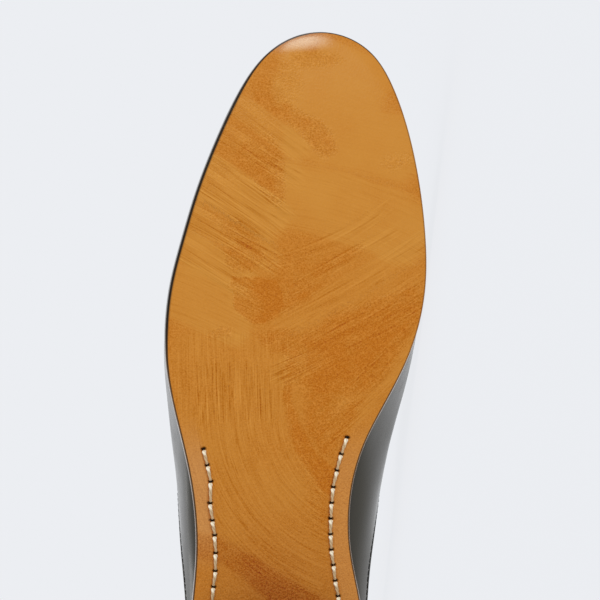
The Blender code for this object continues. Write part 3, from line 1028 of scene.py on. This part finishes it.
def sole_marks(points, inset, rise, pits):
    """What the sole's finish needs to know at each point, by name."""
    x, station = points[:, 0], points[:, 1]
    below = rise == 0
    bare = bare_marks(points)
    margin = soft_step(*PARING_END, station) * soft_step(*PARED_MARGIN, inset)
    margin *= np.where(x > 0, soft_step(*LATERAL_PARING_START, station), 1.0)
    lateral_loss = LATERAL_SHADE_LOSS * soft_step(*LATERAL_SHADE_END, x)
    medial_loss = MEDIAL_SHADE_LOSS * soft_step(*MEDIAL_SHADE_END, x)
    shade = HEEL_SHADE * soft_step(*HEEL_SHADE_START, station) ** 1.5 * (1 - PARED_SHADE_LOSS * margin)
    shade *= 1 - lateral_loss - medial_loss
    shade += WORN_SHADE * bare * soft_step(*WORN_SHADE_START, station)
    polish = soft_step(*TOE_POLISH_START, station + TOE_POLISH_SLANT * (x - TOE_POLISH_MIDDLE))
    polish *= soft_step(*TOE_POLISH_MEDIAL, x) * soft_step(*TOE_POLISH_LATERAL, x)
    # a painted highlight line along the edge wall
    painted_sheen = np.exp(-(((rise - SHEEN_RISE) / SHEEN_WIDTH) ** 2))
    return {
        "shoe": points,
        "ink": ink_marks(points, inset),
        "buffed": np.maximum(polish * below, WALL_POLISH * soft_step(*WALL_POLISH_RISE, rise)),
        "painted_sheen": painted_sheen * (1 - FOREPART_SHEEN_LOSS * soft_step(*FOREPART_START, station)),
        "pit_shade": pits,
        "bare": bare,
        "pared": np.where(x > 0, PARED[LATERAL], PARED[MEDIAL]) * margin * (1 - WORN_PARED_LOSS * bare),
        "shade": np.maximum(shade, STITCH_SHADE * thread_shade(points) * below),
        **smear_marks(points),
    }


def make_outsole():
    """The sole as lines along it: across its underside, up one wall, over its top and down the other."""
    shares = sole_shares()
    insets = np.concatenate([EDGE_INSETS, STITCH_INSETS, INNER_INSETS])
    rounded = edge_inset(0.0)

    def along_edge(side, further, rounding):
        line = edge_line(side, lambda station: further + rounding * edge_share(side, station))
        return points_on(line, shares)

    def underside(side, inset):
        x, y = along_edge(side, inset, rounded)
        cut = paring(y) * max(0.0, (STITCH_MARGIN - inset - rounded) / STITCH_MARGIN) ** PARING_POWER
        return np.stack([x, y, ground_clearance(y) + cut], axis=1)

    def wall(side, rise, further=0.0):
        x, y = along_edge(side, further, edge_inset(rise))
        height = np.maximum(rise * SOLE_THICKNESS, paring(y) * (1 - rise))
        return np.stack([x, y, ground_clearance(y) + height], axis=1)

    medial, lateral = ([underside(side, inset) for inset in insets] for side in (MEDIAL, LATERAL))
    middle = list(np.linspace(medial[-1], lateral[-1], SOLE_COLUMNS + 2)[1:-1])
    below = medial + middle + lateral[::-1]
    walls = {side: [wall(side, rise) for rise in WALL_RISES] for side in SIDES}
    above = [wall(side, 1.0, TOP_MARGIN) for side in SIDES]
    columns = below + walls[LATERAL] + above + walls[MEDIAL][::-1]
    on_wall = [0.0] * len(WALL_RISES)
    depths = [*insets, *[insets[-1]] * len(middle), *insets[::-1]]
    depths += on_wall + [TOP_MARGIN] * len(above) + on_wall
    points = np.array(columns).transpose(1, 0, 2).reshape(-1, 3)
    inset = np.tile(depths, len(shares))
    rise = np.tile([*[0.0] * len(below), *WALL_RISES, 1.0, 1.0, *WALL_RISES[::-1]], len(shares))
    from_edge = np.clip(edge_distances(points) / TOE_CURL_REACH, 0, 1)
    curl = TOE_CURL * (1 - from_edge) ** 2 * soft_step(*TOE_CURL_START, points[:, 1])
    pits = pit_marks(points) * (rise == 0)
    points[:, 2] += curl * (1 - rise) + HOLE_DEPTH * pits
    marks = sole_marks(points, inset, rise, pits)
    faces = grid_faces(len(shares), len(columns), closed=True)
    made = piece("outsole_leather", points, faces, [sole_leather()], attributes=marks)
    return finish_piece(made, "outsole")


# Stitches


def stitch_row_tree():
    """Geometry nodes that lay a stitch at each place of a row, along it and facing out of the leather."""
    tree = bpy.data.node_groups.new("stitch_row", "GeometryNodeTree")
    sockets = {}
    for label, kind in (
        ("Places", "NodeSocketGeometry"),
        ("Stitch", "NodeSocketObject"),
        ("Wobble", "NodeSocketFloat"),
        ("Thread", "NodeSocketMaterial"),
    ):
        sockets[label] = tree.interface.new_socket(label, in_out="INPUT", socket_type=kind).identifier
    tree.interface.new_socket("Stitches", in_out="OUTPUT", socket_type="NodeSocketGeometry")

    def node(kind, inputs=(), **settings):
        return new_node(tree, kind, inputs, **settings)

    def stored(name, kind):
        return node("GeometryNodeInputNamedAttribute", {"Name": name}, data_type=kind).outputs[0]

    given = node("NodeGroupInput").outputs
    aligned = "FunctionNodeAlignRotationToVector"
    along = node(aligned, {"Vector": stored("line", "FLOAT_VECTOR")}, axis="Y").outputs[0]
    inputs = {"Rotation": along, "Vector": stored("out", "FLOAT_VECTOR")}
    facing = node(aligned, inputs, axis="Z", pivot_axis="Y").outputs[0]
    least = node("ShaderNodeMath", {0: given["Wobble"], 1: -1.0}, operation="MULTIPLY").outputs[0]
    random = node("FunctionNodeRandomValue", {"Seed": STITCH_SEED}, data_type="FLOAT")
    for socket in random.inputs:
        if socket.type == "VALUE" and socket.enabled:
            tree.links.new(least if socket.name == "Min" else given["Wobble"], socket)
    swing = next(socket for socket in random.outputs if socket.enabled)
    spin = node("FunctionNodeAxisAngleToRotation", {"Axis": (0.0, 0.0, 1.0), "Angle": swing}).outputs[0]
    inputs = {"Rotation": facing, "Rotate By": spin}
    turned = node("FunctionNodeRotateRotation", inputs, rotation_space="LOCAL").outputs[0]
    stitch = node("GeometryNodeObjectInfo", {"Object": given["Stitch"]}).outputs["Geometry"]
    size = node("ShaderNodeCombineXYZ", {0: 1.0, 1: stored("stretch", "FLOAT"), 2: 1.0}).outputs[0]
    inputs = {"Points": given["Places"], "Instance": stitch, "Rotation": turned, "Scale": size}
    placed = node("GeometryNodeInstanceOnPoints", inputs).outputs[0]
    real = node("GeometryNodeRealizeInstances", {"Geometry": placed}).outputs[0]
    painted = node("GeometryNodeSetMaterial", {"Geometry": real, "Material": given["Thread"]}).outputs[0]
    node("NodeGroupOutput", {"Stitches": painted})
    return tree, sockets


STITCH_TREE, STITCH_SOCKETS = stitch_row_tree()


def stitch_form(name, radius, rise, sides, rings, plies, twist):
    """A stitch 1 m long, along Y: its full head leaves one hole and its thinner tail dips into the next."""
    places = np.sin(np.linspace(-math.pi / 2, math.pi / 2, rings))
    around = np.linspace(0, 2 * math.pi, sides, endpoint=False)
    along, angle = np.meshgrid(places, around, indexing="ij")
    tail = soft_step(0.0, 1.0, along)
    head = np.exp(-(((along - HEAD_PLACE) / HEAD_LENGTH) ** 2))
    fullness = STITCH_FULLNESS + HEAD_FULLNESS * head - TAIL_LOSS * tail
    rounding = np.sqrt(1 - np.clip((np.abs(along) - END_ROUND_START) / END_ROUND, 0, 1) ** 2)
    ply = np.cos(plies * angle - twist * along)
    body = radius * fullness * rounding * (1 + PLY_RELIEF * ply)
    height = rise - HEAD_DIP * rise * soft_step(*HEAD_DIP_START, along)
    height -= (rise + TAIL_DIP * radius) * tail**TAIL_DIP_POWER
    across = body * np.cos(angle) * MM
    up = (THREAD_FLATNESS * body * np.sin(angle) + height) * MM
    points = np.stack([across, along / 2, up], axis=-1)
    faces = [list(face) for face in grid_faces(rings, sides, closed=True)]
    faces += [list(range(sides)), list(range((rings - 1) * sides, rings * sides))]
    mesh = bpy.data.meshes.new(name)
    mesh.from_pydata(points.reshape(-1, 3).tolist(), [], faces)
    # the share of the painted light on the stitch's head at each point
    store(mesh, "head", soft_step(*LIT_HEAD, along).ravel())
    store(mesh, "ply", (1 + ply).ravel() / 2)
    face_outwards(mesh)
    return bpy.data.objects.new(name, mesh)


def stitch_row(name, points, lines, outs, lengths, form, thread):
    """A mesh of stitches, one at each point, from the thread's ways, the ways out and the lengths."""
    places = bpy.data.meshes.new(name + "_places")
    places.from_pydata([TO_SCENE @ Vector(point) for point in points], [], [])
    for label, ways in (("line", lines), ("out", outs)):
        store(places, label, np.array([TURN @ Vector(way) for way in ways]))
    store(places, "stretch", lengths * MM)
    carrier = add_object(name + "_places", places)
    row = carrier.modifiers.new("stitches", "NODES")
    row.node_group = STITCH_TREE
    for label, value in (("Stitch", form), ("Wobble", STITCH_WOBBLE), ("Thread", thread)):
        row[STITCH_SOCKETS[label]] = value
    graph = bpy.context.evaluated_depsgraph_get()
    made = bpy.data.meshes.new_from_object(carrier.evaluated_get(graph))
    bpy.data.objects.remove(carrier)
    made.name = name
    made.shade_smooth()
    return finish_piece(add_object(name, made))


def make_waist_stitches():
    """The two rows of thick thread along the waist, from awl hole to awl hole."""
    points, lines, lengths = [], [], []
    for side in SIDES:
        holes = np.array(HOLE_ROWS[side])
        ways = np.diff(holes, axis=0)
        gaps = np.linalg.norm(ways, axis=1)
        ways /= gaps[:, None]
        centres = (holes[:-1] + holes[1:]) / 2 + ways * (HEAD_GAP - TAIL_GAP) / 2
        points.append(np.column_stack([centres, ground_clearance(centres[:, 1])]))
        slope = (ground_clearance(centres[:, 1] + 1) - ground_clearance(centres[:, 1] - 1)) / 2
        lines.append(np.column_stack([ways, ways[:, 1] * slope]))
        lengths.append(gaps - HEAD_GAP - TAIL_GAP)
    points, lines, lengths = (np.concatenate(values) for values in (points, lines, lengths))
    outs = np.tile((0.0, 0.0, -1.0), (len(points), 1))
    form = stitch_form("waist_stitch", THREAD_RADIUS, THREAD_RISE, sides=16, rings=25, plies=2, twist=6.5)
    return stitch_row("waist_stitches", points, lines, outs, lengths, form, waxed_thread())


# Upper


def upper_half_section(from_toe, side, feather):
    """Half a section of the upper, from the ridge down to the feather line: points (x, y, z)."""
    depth = math.sqrt(from_toe)
    station = feather[LATERAL][-1, 1] - from_toe
    edge = {s: np.interp(station, feather[s][:, 1], feather[s][:, 0]) for s in SIDES}
    floor = sole_top(station) + FIT_GAP
    half = (edge[LATERAL] - edge[MEDIAL]) / 2
    ridge_x = (edge[LATERAL] + edge[MEDIAL]) / 2 - last_curve["lean"](depth) * half
    swell = side * max(0.0, last_curve[SWELL_NAMES[side]](depth))
    wide_x = edge[side] + swell
    wide_z = last_curve["swell_height"](depth)
    ridge_z = last_curve["ridge_height"](depth)
    power = 2 / last_curve["roundness"](depth)
    turn = np.linspace(0, math.pi / 2, SECTION_SAMPLES)
    arch_x = ridge_x + (wide_x - ridge_x) * np.sin(turn) ** power
    arch_z = wide_z + (ridge_z - wide_z) * np.cos(turn) ** power
    wall_power = 2 / last_curve["wall_roundness"](depth)
    wall_x = wide_x - swell * (1 - np.cos(turn) ** wall_power)
    wall_z = wide_z * (1 - np.sin(turn) ** wall_power)
    x = np.concatenate([arch_x, wall_x[1:]])
    z = np.concatenate([arch_z, wall_z[1:]])
    return np.stack([x, np.full_like(x, station), z + floor], axis=1)


def upper_face():
    """The upper's outer face as a grid of points: rows from topline to toe, columns over the girth."""
    feather = {side: edge_line(side, FEATHER_INSET) for side in SIDES}
    columns = []
    for girth in np.linspace(-1, 1, UPPER_COLUMNS + 1):
        side = LATERAL if girth >= 0 else MEDIAL
        back = float(topline_reach(girth))
        rest = np.linspace(math.sqrt(back - EDGE_STEPS[-1]), 0, UPPER_ROWS)[1:] ** 2
        reaches = np.concatenate([back - np.array(EDGE_STEPS), rest])
        column = []
        for reach in reaches:
            section = upper_half_section(reach, side, feather)
            column.append(at_lengths(section, abs(girth) * lengths_along(section)[-1]))
        columns.append(column)
    return np.array(columns).transpose(1, 0, 2)


def grid_normals(grid):
    """Unit normals of a grid of points, pointing out of the upper."""
    down = np.gradient(grid, axis=0)
    over = np.gradient(grid, axis=1)
    normal = np.cross(over, down)
    length = np.linalg.norm(normal, axis=2, keepdims=True)
    normal = np.where(length > 1e-9, normal / np.maximum(length, 1e-9), (0.0, 1.0, 0.0))
    normal[-1] = (0.0, 1.0, 0.0)
    return normal


def make_upper():
    """The vamp: its outer face with a turned and sewn topline, the rim, the lining and the lower edges."""
    grid = upper_face()
    normal = grid_normals(grid)
    rows, columns = grid.shape[:2]
    edge = grid[0]
    from_edge = np.min(np.linalg.norm(grid[:, :, None] - edge[None, None], axis=3), axis=2)
    seam = np.exp(-(((from_edge - SEAM_FROM_EDGE) / SEAM_WIDTH) ** 2))
    fold = np.exp(-(((from_edge - FOLD_FROM_EDGE) / FOLD_WIDTH) ** 2))
    outer = grid + normal * (FOLD_RISE * fold - SEAM_DEPTH * seam)[:, :, None]
    inner = grid - UPPER_WALL * normal
    edge_way = np.gradient(edge, axis=0)
    away = np.cross(edge_way, normal[0])
    away /= np.linalg.norm(away, axis=1)[:, None]
    further_in = grid[len(EDGE_STEPS) // 2]
    away *= np.sign(np.einsum("ij,ij->i", away, edge - further_in))[:, None]
    middle = (outer[0] + inner[0]) / 2
    rim = []
    for turn in np.linspace(0, math.pi, RIM_ROWS + 2)[1:-1]:
        rim.append(middle + (outer[0] - middle) * math.cos(turn) + away * UPPER_WALL / 2 * math.sin(turn))
    sheet = np.concatenate([inner[::-1], np.array(rim)[::-1], outer])
    faces = [list(face) for face in grid_faces(len(sheet), columns)]
    lined = np.repeat(np.arange(len(sheet) - 1) < rows - 1, columns - 1).astype(int)
    index = np.arange(len(sheet) * columns).reshape(len(sheet), columns)
    hem = []
    for column in (0, columns - 1):
        low = index[:rows, column][::-1]
        high = index[-rows:, column]
        hem += [[low[i], low[i + 1], high[i + 1], high[i]] for i in range(rows - 1)]
        hem.append(list(index[rows - 1 : rows + len(rim) + 1, column]))
    finish_of_face = np.concatenate([lined, np.zeros(len(hem), int)])
    finishes = [upper_leather(), lining_leather()]
    made = piece("upper_leather", sheet.reshape(-1, 3), faces + hem, finishes, finish_of_face)
    finish_piece(made, "upper")
    return grid, normal, from_edge


def make_topline_stitches(grid, normal, from_edge):
    """A row of fine stitches round the topline, pressed into the leather."""
    points, outs = [], []
    for column in range(2, grid.shape[1] - 2):
        reach = from_edge[:SEAM_ROWS, column]
        for found, values in ((points, grid), (outs, normal)):
            near = values[:SEAM_ROWS, column]
            found.append([np.interp(SEAM_FROM_EDGE, reach, near[:, k]) for k in range(3)])
    points, outs = np.array(points), np.array(outs)
    run = lengths_along(points)
    lengths = np.linspace(0, run[-1], int(run[-1] / SEAM_PITCH))
    ahead = at_lengths(points, lengths + 0.5) - at_lengths(points, lengths - 0.5)
    facing = np.stack([np.interp(lengths, run, outs[:, k]) for k in range(3)], axis=1)
    form = stitch_form(
        "topline_stitch", SEAM_THREAD_RADIUS, SEAM_THREAD_RISE, sides=6, rings=7, plies=1, twist=0.0
    )
    reach = np.full(len(lengths), SEAM_PITCH - SEAM_GAP)
    places = at_lengths(points, lengths)
    return stitch_row("topline_stitches", places, ahead, facing, reach, form, seam_thread())


# Insole and heel


def sock_spread(side, station):
    """How far the sock's top edge spreads out over the feather line towards the swelling lining."""
    from_toe = np.maximum(0.0, SOLE_LENGTH - FEATHER_INSET - station)
    depth = np.sqrt(from_toe)
    swell = np.maximum(0.0, last_curve[SWELL_NAMES[side]](depth))
    rise = INSOLE_THICKNESS / np.maximum(INSOLE_THICKNESS, last_curve["swell_height"](depth))
    power = last_curve["wall_roundness"](depth)
    lining = swell * (1 - (1 - rise) ** power) ** (1 / power)
    return SOCK_SPREAD * lining * soft_step(*SOCK_SPREAD_END, from_toe)


def make_insole():
    """The covered insole as lines along it, with its upper edge eased."""
    shares = np.linspace(0, 1, INSOLE_ROWS_ALONG)
    eased = []
    for turn in np.linspace(math.pi / 2, 0, INSOLE_CORNER_ROWS):
        eased.append((INSOLE_EDGE_ROUND * (1 - math.sin(turn)), INSOLE_EDGE_ROUND * (1 - math.cos(turn))))

    def column(side, further, drop):
        rise = INSOLE_THICKNESS - drop
        lift = rise / INSOLE_THICKNESS

        def inset(station):
            return insole_inset(station) + further - lift * sock_spread(side, station)

        x, y = points_on(edge_line(side, inset), shares)
        return np.stack([x, y, sole_top(y) + FIT_GAP + rise], axis=1)

    columns = [column(side, 0.0, INSOLE_THICKNESS) for side in (MEDIAL, LATERAL)]
    columns += [column(LATERAL, further, drop) for further, drop in eased]
    lateral, medial = (column(side, INSOLE_MARGIN, 0.0) for side in SIDES)
    columns += list(np.linspace(lateral, medial, INSOLE_ROWS_ACROSS))
    columns += [column(MEDIAL, further, drop) for further, drop in eased[::-1]]
    points = np.array(columns).transpose(1, 0, 2).reshape(-1, 3)
    faces = grid_faces(len(shares), len(columns), closed=True)
    made = piece("insole_sock", points, faces, [sock_leather()])
    return finish_piece(made, "insole")


def heel_loop(inset):
    """The heel's outline in plan at one inset: round the back, then across the hollow breast."""
    lines = {side: edge_line(side, inset) for side in SIDES}
    last_share = math.acos(1 - 2 * HEEL_BREAST / SOLE_LENGTH) / math.pi
    shares = np.linspace(last_share, 0, HEEL_POINTS // 2)
    medial = np.column_stack(points_on(lines[MEDIAL], shares))
    lateral = np.column_stack(points_on(lines[LATERAL], shares[::-1]))[1:]
    across = np.linspace(0, 1, BREAST_POINTS)[1:-1]
    breast = lateral[-1] + across[:, None] * (medial[0] - lateral[-1])
    breast[:, 1] -= HEEL_BREAST_HOLLOW * (1 - (2 * across - 1) ** 2)
    return np.concatenate([medial, lateral, breast])


def make_heel():
    """The heel as a stack of outlines from the ground up, with a groove between its layers."""
    levels = list(HEEL_FOOT)
    for layer in range(HEEL_LAYERS):
        joint = TOP_PIECE_SHARE + (1 - TOP_PIECE_SHARE) * layer / HEEL_LAYERS
        levels += [(joint - GROOVE_SHOULDER, 0.0), (joint - GROOVE_HALF, GROOVE_DEPTH)]
        levels += [(joint + GROOVE_HALF, GROOVE_DEPTH), (joint + GROOVE_SHOULDER, 0.0)]
    levels.append((1.0, 0.0))
    loops = []
    for level, groove in levels:
        loop = heel_loop(HEEL_INSET + HEEL_TAPER * (1 - level) + groove)
        height = level * (ground_clearance(loop[:, 1]) - FIT_GAP)
        loops.append(np.column_stack([loop, height]))
    count = len(loops[0])
    points = np.concatenate(loops)
    faces = [list(face) for face in grid_faces(len(levels), count, closed=True)]
    faces += [list(range(count)), list(range(len(points) - count, len(points)))]
    heights = np.repeat([level for level, groove in levels[:-1]], count)
    finish_of_face = np.append(heights < TOP_PIECE_SHARE, [True, False]).astype(int)
    finishes = [heel_stack(), top_piece_rubber()]
    made = piece("heel_block", points, faces, finishes, finish_of_face, {"shoe": points}, HEEL_SHARP)
    return finish_piece(made, "heel")


# Stage, light and camera

BACKDROP = srgb(236, 238, 242)
FLOOR_TONE = srgb(230, 231, 234)
FLOOR_GLOW = 0.94
FLOOR_RADIUS = 2.5
FLOOR_FADE = (0.4, 2.4)
FLOOR_DROP = 0.0002
WARM_TINT = (0.95, 1.0, 0.79)
WHITE = (1.0, 1.0, 1.0)
SENSOR_WIDTH = 36.0


def make_floor():
    """A pale table, lit from within so that shadows on it stay faint, that fades into the backdrop."""
    finish = Finish("pale_floor")
    place = finish.node("ShaderNodeTexCoord").outputs["Object"]
    away = finish.node("ShaderNodeVectorMath", {0: place}, operation="LENGTH").outputs["Value"]
    matt = finish.node("ShaderNodeBsdfDiffuse", {"Color": FLOOR_TONE}).outputs[0]
    glow = finish.node("ShaderNodeEmission", {"Color": BACKDROP}).outputs[0]
    lit = finish.node("ShaderNodeMixShader", {0: FLOOR_GLOW, 1: matt, 2: glow}).outputs[0]
    clear = finish.node("ShaderNodeBsdfTransparent").outputs[0]
    fade = finish.remap(away, *FLOOR_FADE)
    faded = finish.node("ShaderNodeMixShader", {0: fade, 1: lit, 2: clear}).outputs[0]
    finish.tree.links.new(faded, finish.tree.nodes["Material Output"].inputs["Surface"])
    disc = bmesh.new()
    bmesh.ops.create_circle(disc, cap_ends=True, segments=96, radius=FLOOR_RADIUS)
    mesh = bpy.data.meshes.new("floor")
    disc.to_mesh(mesh)
    disc.free()
    mesh.materials.append(finish.material)
    floor = add_object("floor", mesh)
    floor.location.z = -FLOOR_DROP


def make_world():
    """A pale studio all round, shown in plain screen colours."""
    scene = bpy.context.scene
    world = bpy.data.worlds.new("studio")
    scene.world = world
    world.use_nodes = True
    background = world.node_tree.nodes["Background"]
    background.inputs["Color"].default_value = BACKDROP
    background.inputs["Strength"].default_value = 1.0
    scene.view_settings.view_transform = "Standard"
    scene.view_settings.look = "None"


def aim(obj, place, target, up):
    """Stands a light or camera at a place, looking at the target."""
    back = (place - target).normalized()
    right = up.cross(back).normalized()
    turn = Matrix((right, back.cross(right), back)).transposed()
    obj.matrix_world = Matrix.Translation(place) @ turn.to_4x4()


def make_softbox(name, way, distance, size, power, tint=WHITE):
    """A softbox that lights the shoe from a direction in the shoe's own axes."""
    data = bpy.data.lights.new(name, "AREA")
    data.shape = "RECTANGLE"
    data.size, data.size_y = size
    data.energy = power
    data.color = tint
    box = add_object(name, data)
    target = TO_SCENE @ Vector(PICTURE_CENTRE)
    place = target + (TURN @ Vector(way)).normalized() * distance
    aim(box, place, target, TURN @ Vector((0, 1, 0.01)))


def make_camera():
    """A long lens square to the sole, with the picture's scale and centre."""
    data = bpy.data.cameras.new("camera")
    data.sensor_width = SENSOR_WIDTH
    data.lens = SENSOR_WIDTH * CAMERA_DISTANCE / (PICTURE_PIXELS / PIXELS_PER_MM * MM)
    data.clip_end = 50.0
    camera = add_object("camera", data)
    target = TO_SCENE @ Vector(PICTURE_CENTRE)
    way = TURN @ Vector((math.sin(CAMERA_LEAN), 0, -math.cos(CAMERA_LEAN)))
    aim(camera, target + way * CAMERA_DISTANCE, target, TURN @ Vector((0, 1, 0)))
    bpy.context.scene.camera = camera


make_outsole()
make_waist_stitches()
make_topline_stitches(*make_upper())
make_insole()
make_heel()
make_floor()
make_world()
make_softbox(
    "toe_softbox", way=(0.045, 0.66, -0.75), distance=1.4, size=(0.35, 0.7), power=3.5, tint=WARM_TINT
)
make_softbox("overhead_softbox", way=(1.0, 0.1, 0.5), distance=1.5, size=(1.2, 0.8), power=3.0)
make_softbox("vamp_softbox", way=(0.2, -0.55, 0.81), distance=1.5, size=(0.5, 0.3), power=3.0)
make_camera()
